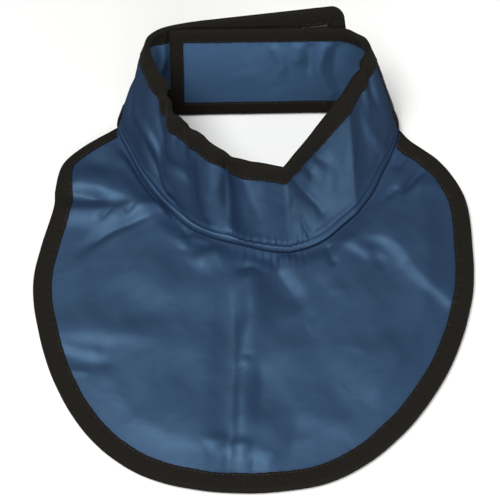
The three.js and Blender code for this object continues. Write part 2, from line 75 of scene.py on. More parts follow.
# The band's wall from the left back corner to the right one: foot x and y and top x and y, as shares of
# NECK_HALF and NECK_REACH, the top's height and the bulge half way up, as shares of COLLAR_RISE and BUMP,
# whether it is a sharp fold, and whether it is sewn down.
WALL = (
    (-0.82, 1.065, -0.69, 1.3, 1.0, 0.0, 0, 0),
    (-0.925, 0.96, -0.726, 1.23, 1.0, 0.0, 0, 0),
    (-0.965, 0.83, -0.74, 1.155, 1.0, 0.0, 0, 0),
    (-0.966, 0.697, -0.74, 1.074, 1.0, 0.2, 0, 1),
    (-0.867, 0.3, -0.69, 0.828, 1.0, 0.5, 0, 1),
    (-0.775, -0.005, -0.644, 0.59, 1.0, 0.2, 0, 1),
    (-0.686, -0.233, -0.634, 0.377, 0.98, -0.7, 0, 1),
    (-0.588, -0.418, -0.563, 0.164, 1.0, 0.5, 0, 1),
    (-0.436, -0.67, -0.442, -0.025, 1.01, -0.3, 0, 1),
    (-0.284, -0.792, -0.295, -0.262, 1.01, 0.7, 0, 1),
    (-0.175, -0.85, -0.174, -0.385, 0.97, -0.9, 0, 1),
    (-0.078, -0.89, -0.082, -0.479, 1.0, 0.7, 0, 1),
    (0.113, -0.97, 0.053, -0.518, 0.99, 0.0, 0, 1),
    (0.232, -0.984, 0.195, -0.557, 0.97, 0.2, 1, 1),
    (0.346, -0.934, 0.279, -0.369, 0.98, -0.4, 0, 1),
    (0.465, -0.834, 0.389, -0.115, 0.99, -0.5, 0, 1),
    (0.611, -0.616, 0.526, 0.23, 1.0, 0.0, 0, 1),
    (0.69, -0.492, 0.61, 0.443, 1.0, 0.6, 1, 1),
    (0.812, -0.197, 0.679, 0.648, 1.0, -0.3, 0, 1),
    (0.889, 0.089, 0.732, 0.795, 1.0, 0.0, 0, 1),
    (0.965, 0.354, 0.768, 0.959, 1.0, 0.4, 0, 1),
    (1.016, 0.672, 0.782, 1.107, 1.0, 0.2, 0, 1),
    (1.01, 0.852, 0.753, 1.205, 1.01, 0.0, 0, 0),
    (0.937, 0.984, 0.7, 1.259, 1.02, 0.0, 0, 0),
    (0.78, 0.975, 0.63, 1.335, 1.01, 0.0, 0, 0),
)


def back_section(foot_x, foot_z, top_x, top_z, layer):
    """One upright line of the collar's back, on the leaning plane that both arms share."""
    away = BACK_REACH + layer * np.hypot(1, BACK_LEAN)
    foot = (foot_x, away + BACK_SKEW * foot_x + BACK_LEAN * foot_z, foot_z)
    top = (top_x, away + BACK_SKEW * top_x + BACK_LEAN * top_z, top_z)
    return foot, top, 0.0, 0, 0


sections = []
for share in OUTER_SHARES:
    sections.append(back_section(
        np.interp(share, (0, 1), OUTER_FEET) * NECK_HALF,
        np.interp(share, (0, 1), (ARM_FOOT, OUTER_LIFT[0])) * COLLAR_RISE,
        np.interp(share, (0, 1), OUTER_TOPS) * NECK_HALF,
        np.interp(share, (0, 1), (BACK_RISE, OUTER_LIFT[1])) * COLLAR_RISE,
        LAP,
    ))
for foot_x, foot_y, top_x, top_y, rise, bump, kink, seam in WALL:
    foot = (foot_x * NECK_HALF, foot_y * NECK_REACH, ARM_FOOT * COLLAR_RISE)
    top = (top_x * NECK_HALF, top_y * NECK_REACH, rise * COLLAR_RISE)
    sections.append((foot, top, bump * BUMP, kink, seam))
for foot_x, top_x in INNER_ARM:
    sections.append(back_section(
        foot_x * NECK_HALF, ARM_FOOT * COLLAR_RISE, top_x * NECK_HALF, BACK_RISE * COLLAR_RISE, 0,
    ))

feet = np.array([section[0] for section in sections])
tops = np.array([section[1] for section in sections])
bulges = np.array([section[2] for section in sections])
kinks = np.array([section[3] for section in sections], bool)
sewn = np.flatnonzero([section[4] for section in sections])
steps = (np.linalg.norm(np.diff(feet, axis=0), axis=1) + np.linalg.norm(np.diff(tops, axis=0), axis=1)) / 2
STATIONS = np.concatenate(([0], np.cumsum(steps)))
BAND_LENGTH = STATIONS[-1]
SEAM_START = STATIONS[sewn[0]]
SEAM_END = STATIONS[sewn[-1]]


def run(values, along):
    """A value of the sections, carried smoothly along the band and sharp only where a section is a fold."""
    along = np.asarray(along, float)
    last = len(STATIONS) - 1
    slopes = np.diff(values) / np.diff(STATIONS)
    before = np.concatenate(([slopes[0]], slopes))
    after = np.concatenate((slopes, [slopes[-1]]))
    left = np.concatenate(([1], np.diff(STATIONS)))
    right = np.concatenate((np.diff(STATIONS), [1]))
    middle = (before * right + after * left) / (left + right)
    free = kinks.copy()
    free[0] = free[last] = True
    leaving = np.where(free, after, middle)
    arriving = np.where(free, before, middle)
    n = np.searchsorted(STATIONS[1:-1], along, side="left")
    length = STATIONS[n + 1] - STATIONS[n]
    t = (along - STATIONS[n]) / length
    return (
        values[n] * (2 * t ** 3 - 3 * t ** 2 + 1)
        + leaving[n] * length * (t ** 3 - 2 * t ** 2 + t)
        + values[n + 1] * (3 * t ** 2 - 2 * t ** 3)
        + arriving[n + 1] * length * (t ** 3 - t ** 2)
    )


def foot_plan(along):
    """The band's foot in plan."""
    return np.stack((run(feet[:, 0], along), run(feet[:, 1], along)), axis=-1)


def foot_out(along):
    """The level direction out of the neck at the band's foot."""
    way = foot_plan(np.minimum(along + 0.5, BAND_LENGTH)) - foot_plan(np.maximum(along - 0.5, 0))
    way /= np.linalg.norm(way, axis=-1, keepdims=True)
    return np.stack((way[..., 1], -way[..., 0]), axis=-1)


def seam_point(along, out):
    """A point in plan outside the band's foot, at a distance along it."""
    return foot_plan(along) + foot_out(along) * np.asarray(out)[..., None]


def smooth(low, high, value):
    """0 below low, 1 above high, and an easy curve between."""
    share = np.clip((value - low) / (high - low), 0, 1)
    return share * share * (3 - 2 * share)


# The bib
# One rounded piece of coated nylon over a heavy, limp core, cut out round the neck. It lies on the table
# and keeps soft folds, which start at the sewn seam or at the bound edge.
BIB_HALF = 141.0
BIB_DROP = 230.0  # from the middle of the neck hole to the bib's lowest edge
NECK_PLACE = (-0.052, 68.410, 0.0)  # the middle of the neck hole in the part's frame
HEM = 0.8
TAPE = 0.7
EDGE = TAPE + GAP  # from the tape's outside to the cloth's edge in its fold
SEAM_OUT = CLOTH / 2 + HEM + GAP
BIB_EDGE = (
    (-0.835, 0.106), (-0.912, 0.048), (-0.938, -0.045), (-0.936, -0.1), (-0.982, -0.257), (-1.0, -0.36),
    (-0.97, -0.489), (-0.867, -0.683), (-0.696, -0.85), (-0.478, -0.953), (-0.207, -0.998), (0.1, -1.0),
    (0.352, -0.964), (0.611, -0.847), (0.837, -0.653), (0.972, -0.424), (1.0, -0.24), (0.982, -0.064),
    (0.884, 0.057), (0.745, 0.14),
)
SHOULDER_SHARE = 0.052
BIB_LOW = 1.4  # height of the cloth's middle where it is pressed down at the seam
BIB_PUFF = 2.9  # how far the core lifts it between the seam and the tape
PUFF_FROM_EDGE = (11, 32)  # where it starts to lift the cloth, and where it lifts it fully
PUFF_FROM_SEAM = (0, 14)
TAPE_LIFTS = (13, 26)  # where the tape under the edge stops lifting the cloth
FOLDS_FROM_EDGE = (0, 15)  # folds are pressed flat at the tape and at the seam
FOLDS_FROM_SEAM = (0, 4)
BIB_WAVES = ((0.75, 4, 62), (0.22, 9, 24))  # height, random seed and length
TABLE_GAP = 0.05  # from the table to the cloth where it rests
SETTLE = 2.2  # how sharply the cloth comes to rest on the table, per millimetre
BIB_COLUMNS = 340
BIB_ROWS = 120
EDGE_STEP = 5  # every fifth point of the outline is near enough to measure distances from

# Each fold: its line in shares of BIB_HALF and BIB_DROP, its height, its width to the left and to the right
# of the line, and how much of its height is left at the line's start and at its end.
BIB_FOLDS = (
    (((-0.915, -0.019), (-0.797, -0.03), (-0.677, -0.056), (-0.558, -0.084), (-0.44, -0.109)),
     3.7, 13, 7.5, 1.0, 0.8),
    (((-0.904, -0.12), (-0.787, -0.127), (-0.68, -0.131), (-0.569, -0.124), (-0.44, -0.113)),
     3.0, 6.0, 8.5, 1.0, 0.8),
    (((-0.893, -0.071), (-0.789, -0.075), (-0.666, -0.092)), -2.6, 4.5, 5.0, 1.0, 0.0),
    (((-0.449, -0.131), (-0.567, -0.17), (-0.688, -0.212), (-0.788, -0.263), (-0.838, -0.307)),
     -1.5, 3.4, 4.2, 0.6, 0.0),
    (((-0.728, -0.162), (-0.688, -0.141), (-0.653, -0.116)), -1.1, 2.4, 2.4, 0.3, 0.3),
    (((-0.605, -0.145), (-0.551, -0.109)), -0.9, 2.4, 2.4, 0.3, 0.3),
    (((-0.682, 0.106), (-0.601, 0.039), (-0.51, -0.042)), 1.8, 4.0, 5.0, 0.3, 0.6),
    (((-0.813, 0.064), (-0.734, 0.042), (-0.635, -0.009)), -1.6, 7, 7, 0.0, 0.0),
    (((-0.893, -0.53), (-0.725, -0.533), (-0.504, -0.546), (-0.35, -0.561)), 1.6, 13, 7.0, 1.0, 0.0),
    (((-0.872, -0.559), (-0.764, -0.587), (-0.622, -0.609)), 0.6, 4.0, 3.4, 1.0, 0.0),
    (((-0.833, -0.606), (-0.717, -0.625), (-0.569, -0.634)), -0.9, 5.0, 5.5, 1.0, 0.0),
    (((-0.827, -0.649), (-0.705, -0.658)), 0.5, 3, 2.6, 1.0, 0.0),
    (((-0.148, -0.345), (-0.115, -0.424), (-0.091, -0.553), (-0.095, -0.677), (-0.097, -0.827),
      (-0.109, -0.936)), -1.7, 3.4, 15, 0.1, 0.8),
    (((-0.223, -0.378), (-0.214, -0.556), (-0.218, -0.74), (-0.23, -0.901)), 1.2, 9, 14, 0.2, 0.6),
    (((-0.021, -0.37), (-0.012, -0.449), (-0.021, -0.545), (-0.039, -0.605)), 3.5, 10.0, 7.0, 0.9, 0.5),
    (((-0.093, -0.345), (-0.03, -0.318), (0.033, -0.338)), -1.5, 3.2, 3.0, 0.0, 0.2),
    (((-0.082, -0.609), (-0.039, -0.609), (0.005, -0.621)), -0.6, 3.0, 3.0, 0.0, 0.0),
    (((-0.051, -0.639), (-0.051, -0.743), (-0.059, -0.878)), 1.9, 7.0, 6.0, 0.3, 0.4),
    (((0.018, -0.591), (0.035, -0.692), (0.026, -0.773), (0.008, -0.832)), -1.5, 34.0, 5.0, 0.0, 0.0),
    (((0.056, -0.291), (0.114, -0.355), (0.172, -0.415), (0.214, -0.48)), -2.5, 5.5, 12.0, 0.5, 0.2),
    (((0.133, -0.31), (0.204, -0.351), (0.283, -0.404)), 0.5, 22, 14, 0.0, 0.0),
    (((0.196, -0.773), (0.168, -0.856), (0.137, -0.942)), -1.0, 34, 6.0, 0.0, 1.0),
    (((-0.205, -0.883), (-0.164, -0.863), (-0.118, -0.878)), 1.5, 5, 9, 0.2, 0.2),
    (((-0.105, -0.895), (-0.063, -0.881), (-0.013, -0.895)), 1.7, 5, 9, 0.2, 0.3),
    (((0.004, -0.912), (0.046, -0.901), (0.104, -0.918)), 1.3, 5, 8, 0.3, 0.2),
    (((-0.117, -0.947), (-0.113, -0.885)), -0.9, 2.4, 2.4, 1.0, 0.0),
    (((-0.009, -0.947), (-0.004, -0.899)), -0.8, 2.4, 2.4, 1.0, 0.0),
    (((0.391, -0.232), (0.511, -0.211), (0.603, -0.218), (0.672, -0.259), (0.742, -0.337), (0.88, -0.426)),
     2.4, 24, 5.4, 0.2, 0.8),
    (((0.382, -0.225), (0.473, -0.249), (0.569, -0.304)), 1.4, 7, 4.2, 0.2, 0.0),
    (((0.517, -0.267), (0.57, -0.301), (0.603, -0.334)), -0.6, 4, 4, 0.0, 0.0),
    (((0.336, -0.25), (0.348, -0.284), (0.364, -0.325)), -1.4, 2.4, 3.0, 0.8, 0.0),
    (((0.837, 0.064), (0.759, -0.002), (0.672, -0.075)), -3.2, 3.2, 3.2, 0.9, 0.0),
    (((0.736, 0.102), (0.662, 0.02)), -2.2, 2.8, 2.8, 0.9, 0.0),
    (((0.685, -0.031), (0.605, -0.092)), -1.1, 2.8, 2.8, 0.0, 0.4),
    (((0.703, -0.031), (0.802, -0.027), (0.908, -0.045)), 1.3, 7, 7.5, 0.0, 0.3),
    (((-0.322, -0.174), (-0.324, -0.233)), -1.4, 2.6, 2.6, 1.0, 0.0),
    (((-0.315, -0.215), (-0.251, -0.218), (-0.172, -0.225)), 1.4, 4, 4.4, 0.2, 0.0),
    (((-0.311, -0.313), (-0.221, -0.29), (-0.103, -0.256)), 3.0, 6.5, 9, 0.0, 0.0),
    (((-0.339, -0.198), (-0.309, -0.267)), 1.0, 3.0, 4.0, 0.5, 0.0),
    (((0.093, -0.273), (0.215, -0.304)), 1.4, 4, 5.5, 0.3, 0.0),
    (((0.089, -0.264), (0.097, -0.338)), -1.3, 2.6, 2.6, 1.0, 0.0),
    (((0.302, -0.391), (0.436, -0.398)), 0.4, 6, 5, 0.0, 0.0),
    (((0.356, -0.568), (0.503, -0.593)), 0.4, 6, 5, 0.0, 0.0),
    (((0.508, -0.524), (0.564, -0.649), (0.594, -0.8)), 1.0, 20, 20, 0.3, 0.3),
    (((-0.479, -0.229), (-0.426, -0.364), (-0.265, -0.469)), 1.6, 14, 16, 0.3, 0.0),
    (((-0.534, -0.74), (-0.317, -0.829), (-0.23, -0.893)), 0.8, 16, 18, 0.3, 0.4),
)


def outline_points(points, per_span=60):
    """A dense smooth line through the points, by the centripetal rule."""
    points = np.array(points, float)
    ends = np.vstack((2 * points[0] - points[1], points, 2 * points[-1] - points[-2]))
    line = []
    for a, b, c, d in zip(ends[:-3], ends[1:-2], ends[2:-1], ends[3:]):
        gap_a, gap_b, gap_c = (np.linalg.norm(q - p) ** 0.5 for p, q in ((a, b), (b, c), (c, d)))
        leave = ((b - a) / gap_a - (c - a) / (gap_a + gap_b) + (c - b) / gap_b) * gap_b
        arrive = ((c - b) / gap_b - (d - b) / (gap_b + gap_c) + (d - c) / gap_c) * gap_b
        t = np.linspace(0, 1, per_span, endpoint=False)[:, None]
        line.append(b + leave * t + (3 * (c - b) - 2 * leave - arrive) * t ** 2
                    + (2 * (b - c) + leave + arrive) * t ** 3)
    return np.vstack(line + [points[-1:]])


def line_reach(points):
    """Distance along a line of points, from its start to each point."""
    return np.concatenate(([0], np.cumsum(np.linalg.norm(np.diff(points, axis=0), axis=1))))


corners = [seam_point(SEAM_START, SEAM_OUT + GAP), seam_point(SEAM_END, SEAM_OUT + GAP)]
bib_line = outline_points([corners[0], *((x * BIB_HALF, y * BIB_DROP) for x, y in BIB_EDGE), corners[1]])
bib_reach = line_reach(bib_line)
BIB_GIRTH = bib_reach[-1]


def edge_place(at):
    """The place on the bib's outer edge at a distance along it."""
    at = np.clip(at, 0, BIB_GIRTH)
    return np.stack([np.interp(at, bib_reach, bib_line[:, n]) for n in (0, 1)], axis=-1)


def inside_edge(share, depth):
    """A point some way in from the bib's outer edge."""
    at = np.clip(share, 0, 1) * BIB_GIRTH
    way = edge_place(at + 1.5) - edge_place(at - 1.5)
    way /= np.linalg.norm(way, axis=-1, keepdims=True)
    return edge_place(at) + np.stack((-way[..., 1], way[..., 0]), axis=-1) * np.asarray(depth)[..., None]


def chain_distance(chain, x, y):
    """Distance to a chain of points, the share of the chain at the nearest place, and the side of it."""
    chain = np.asarray(chain, float)
    nearest = np.full(np.shape(x), 1e9)
    share = np.zeros(np.shape(x))
    side = np.zeros(np.shape(x))
    reach = line_reach(chain)
    for n in range(len(chain) - 1):
        dx, dy = chain[n + 1] - chain[n]
        t = np.clip(((x - chain[n, 0]) * dx + (y - chain[n, 1]) * dy) / (dx * dx + dy * dy), 0, 1)
        off_x, off_y = x - chain[n, 0] - t * dx, y - chain[n, 1] - t * dy
        distance = np.hypot(off_x, off_y)
        closer = distance < nearest
        nearest = np.where(closer, distance, nearest)
        share = np.where(closer, (reach[n] + t * (reach[n + 1] - reach[n])) / reach[-1], share)
        side = np.where(closer, np.sign(dx * off_y - dy * off_x), side)
    return nearest, share, side


def fold_relief(rows, x, y, scale):
    """Height of the folds at a place. A fold is steeper on its narrow side and dies out towards its ends."""
    relief = np.zeros(np.shape(x))
    for line, height, left, right, first, final in rows:
        distance, share, side = chain_distance(outline_points(np.array(line) * scale, 6), x, y)
        width = np.where(side > 0, left, right)
        start = first + (1 - first) * smooth(0, 0.4, share)
        end = final + (1 - final) * smooth(0, 0.4, 1 - share)
        relief += height * start * end * np.exp(-(distance / width) ** 2)
    return relief


def swell(x, y, seed, length):
    """Slow, uneven rise and fall of a cloth, between about -1 and 1, with waves of about that length."""
    chance = np.random.default_rng(seed)
    total = np.zeros(np.shape(x))
    for _ in range(7):
        turn = chance.uniform(0, 2 * np.pi)
        wave = length * chance.uniform(0.7, 1.6)
        across_way = x * np.sin(turn) - y * np.cos(turn)
        bend = 0.25 * length * np.sin(across_way * 2 * np.pi / (wave * 2.3) + turn * 3)
        total += np.sin((x * np.cos(turn) + y * np.sin(turn) + bend) * 2 * np.pi / wave + turn * 5)
    return total / 4


seam_line = seam_point(np.linspace(SEAM_START, SEAM_END, 200), np.full(200, SEAM_OUT))
edge_line = bib_line[::EDGE_STEP]


def bib_middle(x, y):
    """Height of the middle of the bib's cloth above the table."""
    to_edge = chain_distance(edge_line, x, y)[0]
    to_seam = chain_distance(seam_line, x, y)[0]
    folded = fold_relief(BIB_FOLDS, x, y, (BIB_HALF, BIB_DROP))
    folded = folded * smooth(*FOLDS_FROM_EDGE, to_edge) * smooth(*FOLDS_FROM_SEAM, to_seam)
    loose = smooth(*PUFF_FROM_EDGE, to_edge) * smooth(*PUFF_FROM_SEAM, to_seam)
    on_tape = (EDGE + CLOTH / 2 - BIB_LOW) * (1 - smooth(*TAPE_LIFTS, to_edge))
    waves = sum(rise * swell(x, y, seed, length) for rise, seed, length in BIB_WAVES) * loose
    free = BIB_LOW + on_tape + BIB_PUFF * loose + folded + waves
    # The table holds it up, and it settles on the table with an easy curve
    return CLOTH / 2 + TABLE_GAP + np.logaddexp(0, SETTLE * (free - CLOTH / 2 - TABLE_GAP)) / SETTLE


def cloth_grid(name, points, lengths):
    """A mesh over a grid of points, in millimetres, with a UV map in metres of cloth."""
    columns, rows = points.shape[:2]
    bpy.ops.object.select_all(action="DESELECT")
    bpy.ops.mesh.primitive_grid_add(
        x_subdivisions=columns - 1, y_subdivisions=rows - 1, size=1, location=(0, 0, 0),
    )
    piece = bpy.context.object
    piece.name = piece.data.name = name
    flat = np.empty(len(piece.data.vertices) * 3)
    piece.data.vertices.foreach_get("co", flat)
    spot = flat.reshape(-1, 3)
    column = np.rint((spot[:, 0] + 0.5) * (columns - 1)).astype(int)
    row = np.rint((spot[:, 1] + 0.5) * (rows - 1)).astype(int)
    piece.data.vertices.foreach_set("co", ((points[column, row] + NECK_PLACE) / 1000).ravel())
    corner = np.empty(len(piece.data.loops), int)
    piece.data.loops.foreach_get("vertex_index", corner)
    piece.data.uv_layers[0].name = "cloth"
    piece.data.uv_layers[0].data.foreach_set("uv", (lengths[column, row] / 1000)[corner].ravel())
    piece.data.update()
    bpy.ops.object.shade_smooth()
    return piece


def thicken(piece, thickness, offset, lining=0):
    """Gives a sheet its thickness, with closed edges. The lining is the material slot of its far face."""
    bpy.context.view_layer.objects.active = piece
    solid = piece.modifiers.new("thickness", "SOLIDIFY")
    solid.material_offset = lining
    solid.thickness = thickness / 1000
    solid.offset = offset
    solid.use_even_offset = False
    bpy.ops.object.modifier_apply(modifier="thickness")


along = np.linspace(0, 1, BIB_COLUMNS)[:, None]
across = np.linspace(0, 1, BIB_ROWS)[None, :]
station = SEAM_START + (SEAM_END - SEAM_START) * along
side_share = SHOULDER_SHARE + (1 - 2 * SHOULDER_SHARE) * along
seam_side = seam_point(station, np.full(station.shape, SEAM_OUT))
edge_side = inside_edge(side_share, np.full(side_share.shape, EDGE))
left_side = inside_edge(SHOULDER_SHARE * across, np.full(across.shape, EDGE))
right_side = inside_edge(1 - SHOULDER_SHARE * across, np.full(across.shape, EDGE))
left_side[0, 0], right_side[0, 0] = seam_side[0, 0], seam_side[-1, 0]
rightwards, outwards = along[..., None], across[..., None]
plan = (
    seam_side * (1 - outwards) + edge_side * outwards + left_side * (1 - rightwards) + right_side * rightwards
    - seam_side[:1] * (1 - outwards) * (1 - rightwards) - seam_side[-1:] * (1 - outwards) * rightwards
    - edge_side[:1] * outwards * (1 - rightwards) - edge_side[-1:] * outwards * rightwards
)
tucked = seam_point(station, np.full(station.shape, -CLOTH / 2 - 2 * GAP))
plan = np.concatenate((tucked, plan), axis=1)
height = bib_middle(plan[..., 0], plan[..., 1])
height[:, 0] = height[:, 1]

# The seam was sewn with the bib eased in, which leaves small pleats along its front and some at its left
PLEAT_HEIGHT = 0.8
PLEAT_REACH = 5.5


def pleat_waves(along, length, finer, drift, turn):
    """Small uneven pleats along a sewn edge, with finer ones among them."""
    return np.sin(along * 2 * np.pi / length + drift * np.sin(turn)) + 0.5 * np.sin(along * 2 * np.pi / finer)


from_seam = np.linalg.norm(plan - plan[:, 1:2], axis=-1)
foot_x = plan[:, 1:2, 0]
eased = smooth(-22, 2, foot_x) * (1 - smooth(22, 42, foot_x))
eased = eased + 0.35 * smooth(-66, -50, foot_x) * (1 - smooth(-40, -24, foot_x))
pleat = pleat_waves(station, 4.6, 2.9, 1.4, station / 7.0)
height += PLEAT_HEIGHT * eased * pleat * np.exp(-from_seam / PLEAT_REACH) * smooth(0.0, 1.5, from_seam)
height = np.maximum(height, CLOTH / 2 + TABLE_GAP)
bib_points = np.concatenate((plan, height[..., None]), axis=-1)
bib_cloth = cloth_grid("bib_cloth", bib_points[:, ::-1], plan[:, ::-1])
thicken(bib_cloth, CLOTH, 0)
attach(bib_cloth, "root")
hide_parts("bib_panel")


def linear(colour):
    """An sRGB hex colour as linear light."""
    parts = [int(colour[n:n + 2], 16) / 255 for n in (1, 3, 5)]
    return (*[c / 12.92 if c <= 0.04045 else ((c + 0.055) / 1.055) ** 2.4 for c in parts], 1.0)


def add_node(tree, kind, settings, inputs):
    """A node with its settings, and with values or other nodes' outputs in its sockets."""
    node = tree.nodes.new(kind)
    for name, value in settings.items():
        setattr(node, name, value)
    for socket, value in inputs.items():
        if isinstance(value, bpy.types.NodeSocket):
            tree.links.new(value, node.inputs[socket])
        else:
            node.inputs[socket].default_value = value
    return node


def new_material(name):
    """An empty material and its tree."""
    material = bpy.data.materials.new(name)
    material.use_nodes = True
    material.node_tree.nodes.clear()
    return material, material.node_tree


def surface(tree, inputs):
    """Ends a material with its shader."""
    shader = add_node(tree, "ShaderNodeBsdfPrincipled", {}, inputs)
    add_node(tree, "ShaderNodeOutputMaterial", {}, {"Surface": shader.outputs["BSDF"]})


# Each of these adds one node and returns the output that others take
WAVE = 0.314  # metres between the waves of a wave texture whose scale is 1


def wave_value(tree, direction, vector, length, distortion, detail, detail_scale=1.0):
    return add_node(tree, "ShaderNodeTexWave", {"bands_direction": direction}, {
        "Vector": vector, "Scale": WAVE / length, "Distortion": distortion, "Detail": detail,
        "Detail Scale": detail_scale}).outputs["Fac"]


def noise_value(tree, vector, scale, detail, roughness, distortion=0.0):
    return add_node(tree, "ShaderNodeTexNoise", {}, {
        "Vector": vector, "Scale": scale, "Detail": detail, "Roughness": roughness,
        "Distortion": distortion}).outputs["Fac"]


def maths(tree, operation, *values):
    node = add_node(tree, "ShaderNodeMath", {"operation": operation}, dict(enumerate(values)))
    return node.outputs["Value"]


def dyed(tree, share, dark, light):
    return add_node(tree, "ShaderNodeMix", {"data_type": "RGBA"}, {
        0: share, 6: linear(dark), 7: linear(light)}).outputs[2]


def bumped(tree, height, strength, distance, under=None):
    inputs = {"Height": height, "Strength": strength, "Distance": distance}
    if under:
        inputs["Normal"] = under
    return add_node(tree, "ShaderNodeBump", {}, inputs).outputs["Normal"]


def dress(piece, *materials):
    """Gives a piece its materials."""
    piece.data.materials.clear()
    for material in materials:
        piece.data.materials.append(material)


# Coated nylon taffeta: a fine, tight plain weave with a smooth coating, which gives it a soft, broad gloss
# that shows every fold. Its threads lie about 0.2 mm apart, so they are drawn at 0.6 mm to show at all.
DRAWN_THREAD = 0.0006


def coated_nylon(name, light, dark):
    nylon, tree = new_material(name)
    cloth = add_node(tree, "ShaderNodeUVMap", {"uv_map": "cloth"}, {}).outputs["UV"]
    place = add_node(tree, "ShaderNodeTexCoord", {}, {}).outputs["Object"]
    warp = wave_value(tree, "X", cloth, DRAWN_THREAD, 0.6, 1.0)
    weft = wave_value(tree, "Y", cloth, DRAWN_THREAD, 0.6, 1.0)
    # Handling leaves shallow creases 10 to 20 mm apart
    creased = bumped(tree, noise_value(tree, place, 55.0, 3.0, 0.45, 0.6), 0.35, 0.0012)
    patch = noise_value(tree, place, 22.0, 3.0, 0.6)
    gloss = add_node(tree, "ShaderNodeMapRange", {}, {
        "Value": patch, "From Min": 0.3, "From Max": 0.7, "To Min": 0.56, "To Max": 0.49})
    surface(tree, {
        "Base Color": dyed(tree, patch, dark, light), "Roughness": gloss.outputs["Result"],
        "Normal": bumped(tree, maths(tree, "ADD", warp, weft), 0.18, 0.0001, creased),
        "Specular IOR Level": 1.0, "Specular Tint": linear("#a0d4ff")})
    return nylon


dress(bib_cloth, coated_nylon("coated nylon taffeta", "#21324b", "#1b2b44"))

# The bib's binding
# A 25 mm woven tape, folded in half over the bib's edge and sewn through both legs near its inner edge. It
# goes from one shoulder corner round to the other, and it lies under the edge as well as over it.
TAPE_WIDTH = 12.0
TAPE_OUT = CLOTH / 2 + GAP + TAPE  # from the cloth's middle to the tape's outside
STITCH_PULL = 0.45  # how far the stitches draw the tape's inner edge down
PUCKERED = (4, 11)  # depths where the tape starts to pucker, and where it puckers fully
LEFT_SHARE = 0.62  # the share of its width that the tape shows at the left shoulder
LOWEST = 0.02  # how near the table the tape and the stitches come
BINDING_COLUMNS = 760
LEG_ROWS = (12.0, 11.6, 10.6, 9.4, 7.4, 5.4, 3.6, 2.2)
FOLD_TURNS = 8
FOLD_DEPTH = 1.9
FOLD_GIRTH = 0.6  # how much of the height across the fold adds to its length, beside its depth


def tape_profile():
    """Depth in from the fold and side of the cloth, from the upper leg's edge round to the lower leg's."""
    upper = [(depth, 1.0) for depth in LEG_ROWS]
    turns = np.linspace(0, np.pi, FOLD_TURNS + 1)[1:-1]
    fold = [(FOLD_DEPTH * (1 - np.sin(turn)), np.cos(turn)) for turn in turns]
    lower = [(depth, -1.0) for depth in reversed(LEG_ROWS)]
    return upper + fold + lower


def tape_rise(depth):
    """Distance of the tape's outside from the cloth's middle, which is less at its stitched edge."""
    return TAPE_OUT - STITCH_PULL * smooth(9.2, TAPE_WIDTH, depth)


def tape_girths(profile):
    """Distance across the folded tape, from the upper leg's edge to each line of the profile."""
    girths = [0.0]
    for (depth, side), (last_depth, last_side) in zip(profile[1:], profile):
        step = abs(depth - last_depth) + abs(side - last_side) * TAPE_OUT * FOLD_GIRTH
        girths.append(girths[-1] + step)
    return girths


binding_share = np.linspace(0, 1, BINDING_COLUMNS)
from_left = binding_share * BIB_GIRTH
ends = np.minimum(binding_share, 1 - binding_share) * BIB_GIRTH
# Near the shoulder corners the band stands on the bib, and the tape is narrower, up to the band's foot
start_in = inside_edge(binding_share, np.zeros(BINDING_COLUMNS))
reach_in = inside_edge(binding_share, np.full(BINDING_COLUMNS, TAPE_WIDTH))
room = np.full(BINDING_COLUMNS, TAPE_WIDTH)
for step in np.linspace(0.1, 1, 40):
    spot = start_in + (reach_in - start_in) * step
    off = chain_distance(seam_line, spot[:, 0], spot[:, 1])[0]
    hit = (off < GAP + 0.35) & (ends < 40)
    room = np.where(hit & (room > step * TAPE_WIDTH), step * TAPE_WIDTH, room)
room = np.minimum(room, TAPE_WIDTH * (LEFT_SHARE + (1 - LEFT_SHARE) * smooth(38, 75, from_left)))
room = np.maximum(room, FOLD_DEPTH + 0.4)
profile = tape_profile()
profile_girths = tape_girths(profile)
binding_points = np.zeros((BINDING_COLUMNS, len(profile), 3))
binding_lengths = np.zeros((BINDING_COLUMNS, len(profile), 2))
wander = 0.22 * swell(from_left, np.zeros(BINDING_COLUMNS), 21, 30) * smooth(0, 30, ends)
puckers = 0.16 * np.sin(from_left * 2 * np.pi / 6.7 + 2.2 * np.sin(binding_share * 41))
for n, (depth, side) in enumerate(profile):
    depth_here = np.full(BINDING_COLUMNS, depth)
    if depth > FOLD_DEPTH:
        depth_here = FOLD_DEPTH + (depth - FOLD_DEPTH) * (room - FOLD_DEPTH) / (TAPE_WIDTH - FOLD_DEPTH)
    spot = inside_edge(binding_share, depth_here + wander * (0.4 if depth < FOLD_DEPTH else 1.0))
    middle = bib_middle(spot[:, 0], spot[:, 1])
    pucker = puckers * smooth(*PUCKERED, depth)
    lift = middle + side * (tape_rise(depth_here) + pucker * (side > 0))
    binding_points[:, n] = np.column_stack((spot, np.maximum(lift, LOWEST)))
    binding_lengths[:, n] = np.column_stack((from_left, np.full(BINDING_COLUMNS, profile_girths[n])))
bib_tape = cloth_grid("bib_tape", binding_points[:, ::-1], binding_lengths[:, ::-1])
thicken(bib_tape, TAPE, -1)
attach(bib_tape, "root")
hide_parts("bib_binding")


# Woven binding tape: matt polyester with ribs straight across it, 1.3 mm apart. Its colour is painted lighter
# on the ribs, a painted highlight.
# Dust and lint make its black slightly brown.
RIB = 0.0013
PICK = 0.0009


